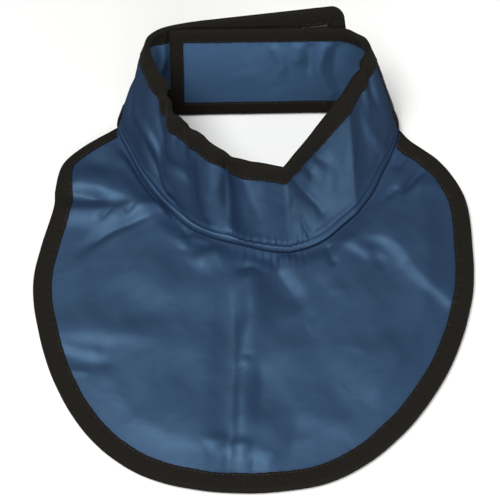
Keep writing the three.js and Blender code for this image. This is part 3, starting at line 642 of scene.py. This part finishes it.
def woven_tape(name):
    tape, tree = new_material(name)
    cloth = add_node(tree, "ShaderNodeUVMap", {"uv_map": "cloth"}, {}).outputs["UV"]
    rib_relief_and_highlight = wave_value(tree, "X", cloth, RIB, 0.8, 2.0, 3.0)
    picks = wave_value(tree, "Y", cloth, PICK, 0.6, 1.0)
    lint = noise_value(tree, cloth, 900.0, 3.0, 0.65)
    relief = maths(tree, "MULTIPLY_ADD", picks, 0.35, rib_relief_and_highlight)
    # The base colour is painted lighter on the rib crests, a painted highlight, and is mottled by lint
    surface(tree, {
        "Base Color": dyed(tree, maths(tree, "MULTIPLY", rib_relief_and_highlight, lint), "#110f0d", "#2a261f"),
        "Normal": bumped(tree, relief, 0.6, 0.00025), "Roughness": 0.82,
        "Specular IOR Level": 0.1, "Sheen Weight": 0.03, "Sheen Roughness": 0.4})
    return tape


tape_black = woven_tape("woven polyester binding tape")
dress(bib_tape, tape_black)

# The neck band
# A long strip of the same coated nylon that stands up round the neck. Its foot is turned under and stitched
# down on the bib, and its two arms run on past the bib's shoulders and overlap at the back.
BAND_HEIGHT = 63.0
END_ROUND = 9.0  # the rounding of the outer arm's corners
INNER_ROUND = 3.0  # and of the inner arm's
HEM_SEAM = 3.3  # height of the stitches through the turned hem
HEM_ZONE = 9  # up to this height the cloth's rows are closer together
HEM_ROWS = 22
BAND_COLUMNS = 560
BAND_ROWS = 84
FOOT_ON_BIB = BIB_LOW + CLOTH / 2 + GAP + 0.9

# Each fold: its line in shares of BAND_LENGTH and BAND_HEIGHT, then as for the bib's folds
BAND_FOLDS = (
    (((0.542, 0.82), (0.556, 0.6), (0.5872, 0.218)), -1.9, 3.4, 3.4, 1.0, 0.6),
    (((0.536, 0.56), (0.562, 0.26)), 0.9, 8, 6, 0.5, 0.8),
    (((0.559, 0.84), (0.5813, 0.571)), -1.9, 3.2, 3.2, 1.0, 0.2),
    (((0.574, 0.84), (0.608, 0.538)), -1.6, 3.2, 3.2, 1.0, 0.2),
    (((0.55, 0.3), (0.5535, 0.22), (0.5605, 0.08)), -1.3, 2.6, 2.6, 0.5, 1.0),
    (((0.462, 0.9), (0.466, 0.5), (0.465, 0.2)), -1.6, 6.0, 9.0, 1.0, 0.6),
    (((0.4771, 0.857), (0.48, 0.5), (0.4837, 0.1)), 1.2, 7.0, 5.0, 1.0, 0.4),
    (((0.4304, 0.7), (0.434, 0.45), (0.4395, 0.21)), 1.5, 5.5, 3.0, 1.0, 0.6),
    (((0.4587, 0.807), (0.445, 0.4)), 0.8, 3.0, 4.0, 1.0, 0.3),
    (((0.3019, 0.42), (0.3495, 0.4), (0.3837, 0.2)), 1.9, 4.0, 3.4, 0.7, 0.9),
    (((0.33, 0.33), (0.37, 0.18), (0.405, 0.06)), -1.5, 4.0, 4.0, 0.6, 1.0),
    (((0.3478, 0.7), (0.3728, 0.5), (0.405, 0.5)), -1.7, 4.5, 5.0, 1.0, 0.7),
    (((0.395, 0.62), (0.402, 0.78)), 1.0, 3.0, 3.5, 0.7, 1.0),
    (((0.4887, 0.773), (0.494, 0.56), (0.4996, 0.353)), 0.8, 2.0, 2.2, 1.0, 0.4),
    (((0.506, 0.75), (0.509, 0.35)), -0.6, 5.0, 5.0, 0.8, 0.6),
    (((0.675, 0.62), (0.69, 0.35), (0.7, 0.15)), 1.1, 5.0, 4.0, 0.5, 1.0),
    (((0.705, 0.7), (0.715, 0.4)), -1.0, 4.0, 4.0, 1.0, 0.6),
    (((0.22, 0.82), (0.216, 0.56), (0.224, 0.34)), -2.2, 4.0, 4.0, 0.8, 0.7),
    (((0.248, 0.76), (0.242, 0.52)), 1.5, 4.0, 4.0, 0.8, 0.6),
    (((0.258, 0.56), (0.276, 0.48), (0.29, 0.3)), -1.5, 3.5, 3.5, 0.8, 0.4),
    (((0.805, 0.78), (0.812, 0.5), (0.804, 0.22)), 1.7, 4.0, 4.0, 0.9, 0.7),
    (((0.82, 0.79), (0.829, 0.52), (0.818, 0.24)), -1.8, 3.5, 3.5, 0.8, 1.0),
    (((0.838, 0.78), (0.842, 0.4)), 1.2, 3.5, 4.0, 1.0, 0.4),
    (((0.852, 0.78), (0.856, 0.56)), -1.4, 3.5, 3.5, 1.0, 0.4),
    (((0.88, 0.76), (0.872, 0.56), (0.878, 0.42)), -1.3, 3.5, 4.0, 1.0, 0.3),
    (((0.788, 0.33), (0.798, 0.21)), 1.2, 3.0, 3.0, 0.8, 1.0),
)


def round_corner(along, up):
    """Draws the cloth's points in to the rounded corners at the arms' ends."""
    first = along < BAND_LENGTH / 2
    low = up < BAND_HEIGHT / 2
    radius = np.where(first, END_ROUND, INNER_ROUND)
    from_end = np.where(first, along, BAND_LENGTH - along)
    from_edge = np.where(low, up, BAND_HEIGHT - up)
    x = (radius - from_end) / radius
    y = (radius - from_edge) / radius
    inside = (x > 0) & (y > 0)
    scale = np.where(inside, np.maximum(x, y) / np.maximum(np.hypot(x, y), 1e-9), 1)
    end = np.where(inside, radius - x * scale * radius, from_end)
    edge = np.where(inside, radius - y * scale * radius, from_edge)
    return np.where(first, end, BAND_LENGTH - end), np.where(low, edge, BAND_HEIGHT - edge)


def band_frame(along, up):
    """The plain wall's point, bulged out along its outward direction, before any fold."""
    held = np.clip(along, SEAM_START, SEAM_END)
    base = run(feet[:, 2], along)
    rise = FOOT_ON_BIB + (base - FOOT_ON_BIB) * smooth(0, TAPE_WIDTH, np.abs(along - held))
    foot = np.concatenate((foot_plan(along), rise[..., None]), axis=-1)
    top = np.stack([run(tops[:, n], along) for n in range(3)], axis=-1)
    share = (up / BAND_HEIGHT)[..., None]
    way = foot_out(along)
    way = np.stack((-way[..., 1], way[..., 0], np.zeros(way.shape[:-1])), axis=-1)
    out = np.cross(way, top - foot)
    out /= np.linalg.norm(out, axis=-1, keepdims=True)
    bulge = run(bulges, along)[..., None] * 4 * share * (1 - share)
    return foot + (top - foot) * share + out * bulge


# The top edge is crumpled where it was gripped: place along the band, how far outwards, and half the length
RIM_CRUMPLES = (
    (0.335, -3.6, 7.0), (0.364, -3.8, 6.5), (0.396, -1.6, 3.6), (0.418, 2.2, 3.4), (0.433, -1.2, 4.0),
    (0.47, 1.6, 3.6), (0.486, -1.0, 4.0), (0.69, 1.3, 4.0), (0.708, -1.5, 5.0),
)


def band_relief(along, up):
    """How far the folds carry the band's cloth outwards."""
    sewn_part = smooth(SEAM_START - 8, SEAM_START + 6, along)
    sewn_part = sewn_part * (1 - smooth(SEAM_END - 6, SEAM_END + 8, along))
    folded = fold_relief(BAND_FOLDS, along, up, (BAND_LENGTH, BAND_HEIGHT))
    folded *= smooth(0, 7, up) * (1 - 0.75 * smooth(BAND_HEIGHT - 16, BAND_HEIGHT - 6, up))
    slow = 0.5 * swell(along, up * 0.8, 31, 46) + 0.15 * swell(along, up, 35, 17)
    slow *= smooth(2, 14, up) * (1 - smooth(BAND_HEIGHT - 14, BAND_HEIGHT - 4, up))
    share = along / BAND_LENGTH
    arms = 1 - 0.7 * (1 - smooth(0.13, 0.19, share) * (1 - smooth(0.90, 0.96, share)))
    place_x = foot_plan(along)[..., 0]
    front = smooth(SEAM_START, SEAM_START + 60, along) * (1 - smooth(SEAM_END - 60, SEAM_END, along))
    eased = smooth(-24, -4, place_x) * (1 - smooth(26, 46, place_x)) * front
    pleats = 0.5 * eased * pleat_waves(along, 4.3, 2.7, 1.1, along / 5.0) * np.exp(-((up - 5.5) / 3.6) ** 2)
    # The turned hem is a low roll, drawn in at its stitches, and the cloth swells again above them
    roll = HEM * np.sqrt(np.clip(1 - ((up - 1.5) / 1.6) ** 2, 0, 1))
    roll -= 0.45 * np.exp(-((up - HEM_SEAM) / 0.5) ** 2)
    roll += 0.55 * np.exp(-((up - 5.6) / 1.6) ** 2)
    rim = sum(
        rise * np.exp(-((along - place * BAND_LENGTH) / half) ** 2) for place, rise, half in RIM_CRUMPLES
    )
    return folded + slow * arms + pleats + roll * sewn_part + rim * smooth(0.45, 0.95, up / BAND_HEIGHT)


def band_point(along, up, out):
    """A point at a distance outside the middle of the folded band."""
    def middle(along, up):
        return band_frame(np.clip(along, 0, BAND_LENGTH), np.clip(up, 0, BAND_HEIGHT))

    along_way = middle(along + 0.6, up) - middle(along - 0.6, up)
    up_way = middle(along, up + 0.6) - middle(along, up - 0.6)
    normal = np.cross(along_way, up_way)
    normal /= np.linalg.norm(normal, axis=-1, keepdims=True)
    total = band_relief(along, up) + out
    return middle(along, up) + normal * total[..., None]


along = np.linspace(EDGE, BAND_LENGTH - EDGE, BAND_COLUMNS)[:, None] + np.zeros((1, BAND_ROWS))
up = np.concatenate((
    np.linspace(0, HEM_ZONE, HEM_ROWS, endpoint=False),
    np.linspace(HEM_ZONE, BAND_HEIGHT - EDGE, BAND_ROWS - HEM_ROWS),
))[None, :] + np.zeros((BAND_COLUMNS, 1))
# Along the arms the cloth ends inside its tape, and on the bib it comes down to its turned hem
on_bib = smooth(SEAM_START - 3, SEAM_START, along) * (1 - smooth(SEAM_END, SEAM_END + 3, along))
up = np.maximum(up, EDGE * (1 - on_bib))
flat_along, flat_up = round_corner(along, up)
band_cloth = cloth_grid(
    "band_cloth", band_point(flat_along, flat_up, np.zeros(along.shape)),
    np.stack((flat_along, flat_up), axis=-1),
)
# The face towards the neck is lined with the same cloth, drawn lighter: painted light that brightens a face
# the lamps leave in shade
dress(band_cloth, bib_cloth.data.materials[0], coated_nylon("coated nylon lining painted lighter", "#37506f", "#304968"))
thicken(band_cloth, CLOTH, 0, 1)
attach(band_cloth, "root")
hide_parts("collar_band")

# The collar's binding
# The same tape, folded over the band's whole top edge, round both arm ends and back along the arms' lower
# edges, as far as the bib's shoulders.
COLLAR_STEP = 1.2
MITRE = 1.2  # the least rounding of the tape's inner edge in a corner
SHOULDER_LAP = 1.0  # how far the tape runs on over the sewn part
OUTER_TURNS = 14
INNER_TURNS = 8


def rim_line(inset):
    """The band's rim in flat cloth, from one shoulder round to the other, moved in by an inset."""
    spots = []
    outer, inner = max(END_ROUND - inset, MITRE), max(INNER_ROUND - inset, MITRE)
    left, right = inset, BAND_LENGTH - inset
    low, high = inset, BAND_HEIGHT - inset

    def straight(start, finish, count):
        for t in np.linspace(0, 1, count, endpoint=False):
            spots.append((start[0] + (finish[0] - start[0]) * t, start[1] + (finish[1] - start[1]) * t))

    def turn(middle, size, first, count):
        for t in np.linspace(0, 1, count, endpoint=False):
            angle = first - t * np.pi / 2
            spots.append((middle[0] + size * np.cos(angle), middle[1] + size * np.sin(angle)))

    arm_count = int((SEAM_START - END_ROUND) / COLLAR_STEP)
    inner_count = int((BAND_LENGTH - SEAM_END - INNER_ROUND) / COLLAR_STEP)
    top_count = int((BAND_LENGTH - END_ROUND - INNER_ROUND) / COLLAR_STEP)
    end_count = int((BAND_HEIGHT - 2 * END_ROUND) / COLLAR_STEP)
    straight((SEAM_START + SHOULDER_LAP, low), (left + outer, low), arm_count)
    turn((left + outer, low + outer), outer, -np.pi / 2, OUTER_TURNS)
    straight((left, low + outer), (left, high - outer), end_count)
    turn((left + outer, high - outer), outer, np.pi, OUTER_TURNS)
    straight((left + outer, high), (right - inner, high), top_count)
    turn((right - inner, high - inner), inner, np.pi / 2, INNER_TURNS)
    straight((right, high - inner), (right, low + inner), end_count)
    turn((right - inner, low + inner), inner, 0, INNER_TURNS)
    straight((right - inner, low), (SEAM_END - SHOULDER_LAP, low), inner_count)
    spots.append((SEAM_END - SHOULDER_LAP, low))
    return np.array(spots)


rim = rim_line(0.0)
rim_reach = line_reach(rim)
rim_share = rim[:, 0] / BAND_LENGTH
# The inner leg of the tape is narrower than the outer one from the left corner round to the inner arm's end,
# and it is wide in the right corner
inner_leg = 1 - 0.28 * smooth(0.20, 0.26, rim_share)
on_top = rim[:, 1] > BAND_HEIGHT / 2
inner_leg += 0.45 * on_top * np.exp(-((rim_share - 0.735) / 0.025) ** 2)
rim_puckers = 0.2 * np.sin(rim_reach * 2 * np.pi / 7.3 + 2.4 * np.sin(rim_reach / 23))
rim_waves = 0.22 * swell(rim_reach, np.zeros(len(rim)), 44, 16)
collar_points = np.zeros((len(rim), len(profile), 3))
collar_lengths = np.zeros((len(rim), len(profile), 2))
for n, (depth, side) in enumerate(profile):
    spot = rim_line(depth)
    if side < 0 and depth > FOLD_DEPTH:
        spot = rim_line(FOLD_DEPTH) + (spot - rim_line(FOLD_DEPTH)) * inner_leg[:, None]
    pucker = rim_puckers * smooth(*PUCKERED, depth) + rim_waves
    out = side * (tape_rise(depth) + pucker)
    collar_points[:, n] = band_point(spot[:, 0], spot[:, 1], out)
    collar_lengths[:, n] = np.column_stack((rim_reach, np.full(len(rim), profile_girths[n])))
collar_tape = cloth_grid("collar_tape", collar_points, collar_lengths)
thicken(collar_tape, TAPE, -1)
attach(collar_tape, "root")
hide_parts("collar_binding")
dress(collar_tape, tape_black)

# The closing
# A wide panel of loop pile on the outside of the inner arm, and a shorter strip of hook tape inside the
# outer arm's end. They press together at the back of the neck, and the arms can be set tighter or looser.
HOOK_LENGTH = 50.0
ARM_END = TAPE_WIDTH + 2 * GAP  # from the arm's end or edge to the panel on it
PANEL_IN = CLOTH / 2 + GAP  # from the cloth's middle to the panel's back
PANEL_STEP = 0.9
PANEL_SPREAD = 0.4  # how far a panel's pile spreads towards the tapes


def arm_panel(name, start, end, low, high, nap):
    """A panel of pile or hooks between the tapes of an arm, with a rough face of its own."""
    columns, rows = int((end - start) / PANEL_STEP), int((BAND_HEIGHT - 2 * ARM_END) / PANEL_STEP)
    along = np.linspace(start, end, columns)[:, None] + np.zeros((1, rows))
    up = np.linspace(ARM_END - PANEL_SPREAD, BAND_HEIGHT - ARM_END + PANEL_SPREAD, rows)
    up = up[None, :] + np.zeros((columns, 1))
    tuft = np.random.default_rng(77).uniform(-nap, nap, along.shape)
    out = np.full(along.shape, max(low, high, key=abs)) + tuft
    points = band_point(along, up, out)
    lengths = np.stack((along, up), axis=-1)
    if low < 0:
        points, lengths = points[:, ::-1], lengths[:, ::-1]
    panel = cloth_grid(name, points, lengths)
    thicken(panel, abs(high - low), -1)
    return panel


loop_pile = arm_panel(
    "loop_pile", SEAM_END + TAPE_WIDTH / 6, BAND_LENGTH - ARM_END, PANEL_IN, PANEL_IN + PILE, 0.28,
)
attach(loop_pile, "root")
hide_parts("loop_panel")
hook_tape = arm_panel("hook_tape", ARM_END, ARM_END + HOOK_LENGTH, -PANEL_IN - HOOK, -PANEL_IN, 0.12)
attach(hook_tape, "root")
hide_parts("hook_strip")


# Brushed nylon loop pile is a dull, uneven black. Hook tape is nylon too, moulded in rows 1.4 mm apart, with
# a faint shine on the hooks.
def closing_tape(name, dark, light, roughness, row_length, relief):
    closing, tree = new_material(name)
    cloth = add_node(tree, "ShaderNodeUVMap", {"uv_map": "cloth"}, {}).outputs["UV"]
    fuzz = noise_value(tree, cloth, 1400.0, 4.0, 0.7)
    height = maths(tree, "ADD", fuzz, wave_value(tree, "X", cloth, row_length, 3.0, 2.0))
    surface(tree, {
        "Base Color": dyed(tree, fuzz, dark, light), "Normal": bumped(tree, height, 0.8, relief),
        "Roughness": roughness, "Specular IOR Level": 0.25, "Sheen Weight": 0.25, "Sheen Roughness": 0.5})
    return closing


dress(loop_pile, closing_tape("brushed loop pile", "#0c0c0d", "#2a2a2c", 0.95, 0.0022, 0.0006))
dress(hook_tape, closing_tape("moulded hook tape", "#141415", "#343436", 0.6, 0.0014, 0.0005))

# The stitching
# Lockstitch about 3 mm long: navy thread along the band's turned foot, and black thread near the inner edge
# of every tape, on the side that shows and on the other.
STITCH = 2.6
STITCH_PITCH = 3.3
THREAD = 0.24
THREAD_OUT = 0.05  # from the cloth's face to the middle of the thread
HEM_POINTS = 700


def stitch_row(name, spots, ways, outs):
    """Stitches at the spots, each lying along its way and standing out of the cloth at its middle."""
    turns = 6
    rings = np.array([-1.0, -0.8, -0.3, 0.3, 0.8, 1.0])
    sizes = np.array([0.15, 0.75, 1.0, 1.0, 0.75, 0.15])
    sides = np.cross(ways, outs)
    corners, faces = [], []
    for spot, way, out, side in zip(spots, ways, outs, sides):
        start = len(corners)
        for ring, size in zip(rings, sizes):
            centre = spot + way * ring * STITCH / 2 + out * THREAD * (0.5 - 0.9 * ring * ring)
            for n in range(turns):
                angle = 2 * np.pi * n / turns
                corners.append(centre + (side * np.cos(angle) + out * np.sin(angle)) * THREAD * size)
        for ring in range(len(rings) - 1):
            for n in range(turns):
                a, b = start + ring * turns + n, start + ring * turns + (n + 1) % turns
                faces.append((a, b, b + turns, a + turns))
        faces.append(tuple(start + n for n in reversed(range(turns))))
        faces.append(tuple(start + (len(rings) - 1) * turns + n for n in range(turns)))
    mesh = bpy.data.meshes.new(name)
    corners = np.array(corners) + NECK_PLACE
    corners[:, 2] = np.maximum(corners[:, 2], LOWEST)
    mesh.from_pydata((corners / 1000).tolist(), [], faces)
    mesh.shade_smooth()
    row = bpy.data.objects.new(name, mesh)
    bpy.context.scene.collection.objects.link(row)
    return row


def stitches_on(reach, points):
    """Evenly spaced places on a line of points, with the line's direction there."""
    at = np.arange(STITCH_PITCH, reach[-1] - STITCH_PITCH, STITCH_PITCH)

    def place(at):
        return np.stack([np.interp(at, reach, points[:, n]) for n in range(3)], axis=-1)

    ways = place(at + 1) - place(at - 1)
    return place(at), ways / np.linalg.norm(ways, axis=1, keepdims=True)


hem_along = np.linspace(SEAM_START + 2, SEAM_END - 2, HEM_POINTS)
hem_up = np.full(HEM_POINTS, HEM_SEAM)
hem_line = band_point(hem_along, hem_up, np.full(HEM_POINTS, CLOTH / 2 + THREAD_OUT))
hem_off = band_point(hem_along, hem_up, np.full(HEM_POINTS, CLOTH / 2 + THREAD_OUT + 1))
spots, ways = stitches_on(line_reach(hem_line), hem_line)
off_spots, _ = stitches_on(line_reach(hem_line), hem_off)
outs = off_spots - spots
outs /= np.linalg.norm(outs, axis=1, keepdims=True)
hem_stitches = stitch_row("hem_stitches", spots, ways, outs)


# Thread: twisted polyester, a little glossier than the cloth
def thread(name, colour):
    twisted, tree = new_material(name)
    place = add_node(tree, "ShaderNodeTexCoord", {}, {}).outputs["Object"]
    surface(tree, {
        "Base Color": linear(colour), "Roughness": 0.55,
        "Normal": bumped(tree, noise_value(tree, place, 2500.0, 2.0, 0.5), 0.4, 0.0001)})
    return twisted


navy_thread = thread("navy polyester thread", "#24395a")
black_thread = thread("black polyester thread", "#121212")
hem_stitches.data.materials.append(navy_thread)
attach(hem_stitches, "root")

for name, grid_points in (("bib_tape_stitches", binding_points), ("collar_tape_stitches", collar_points)):
    sets = []
    for row, deeper in ((2, 3), (len(profile) - 3, len(profile) - 4)):
        line = grid_points[:, row]
        spots, ways = stitches_on(line_reach(line), line)
        deeper_spots, _ = stitches_on(line_reach(line), grid_points[:, deeper])
        outs = np.cross(ways, deeper_spots - spots)
        outs /= np.linalg.norm(outs, axis=1, keepdims=True)
        sets.append((spots, ways, outs))
    row = stitch_row(name, *[np.concatenate([part[n] for part in sets]) for n in range(3)])
    row.data.materials.append(black_thread)
    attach(row, "root")

# The table and the light
# A plain pale table top, a large softbox above and to the left, another low on the right, and a weak one in
# front.
bpy.ops.object.select_all(action="DESELECT")
bpy.ops.mesh.primitive_plane_add(size=8, location=(0, 0, -0.0002))
table_top = bpy.context.object
table_top.name = "table_top"
painted, tree = new_material("pale painted board")
surface(tree, {"Base Color": linear("#f0f0ee"), "Roughness": 0.9})
table_top.data.materials.append(painted)
table_top.visible_glossy = False  # dark cards beside a photographed thing keep the table out of its gloss


def softbox(name, place, width, height, watts):
    light = bpy.data.lights.new(name, "AREA")
    light.shape = "RECTANGLE"
    light.size, light.size_y, light.energy = width, height, watts
    box = bpy.data.objects.new(name, light)
    box.location = place
    box.rotation_euler = (-Vector(place)).to_track_quat("-Z", "Y").to_euler()
    bpy.context.scene.collection.objects.link(box)


softbox("softbox_above", (-0.92, -0.42, 2.80), 2.0, 2.0, 108)
softbox("softbox_right", (1.15, -0.85, 0.40), 0.8, 0.6, 11)
softbox("softbox_front", (0.00, -1.60, 0.75), 1.0, 0.6, 8)
world = bpy.data.worlds.new("studio")
bpy.context.scene.world = world
world.use_nodes = True
world.node_tree.nodes["Background"].inputs["Color"].default_value = linear("#e8ecf2")
world.node_tree.nodes["Background"].inputs["Strength"].default_value = 0.08
bpy.context.scene.view_settings.view_transform = "Standard"
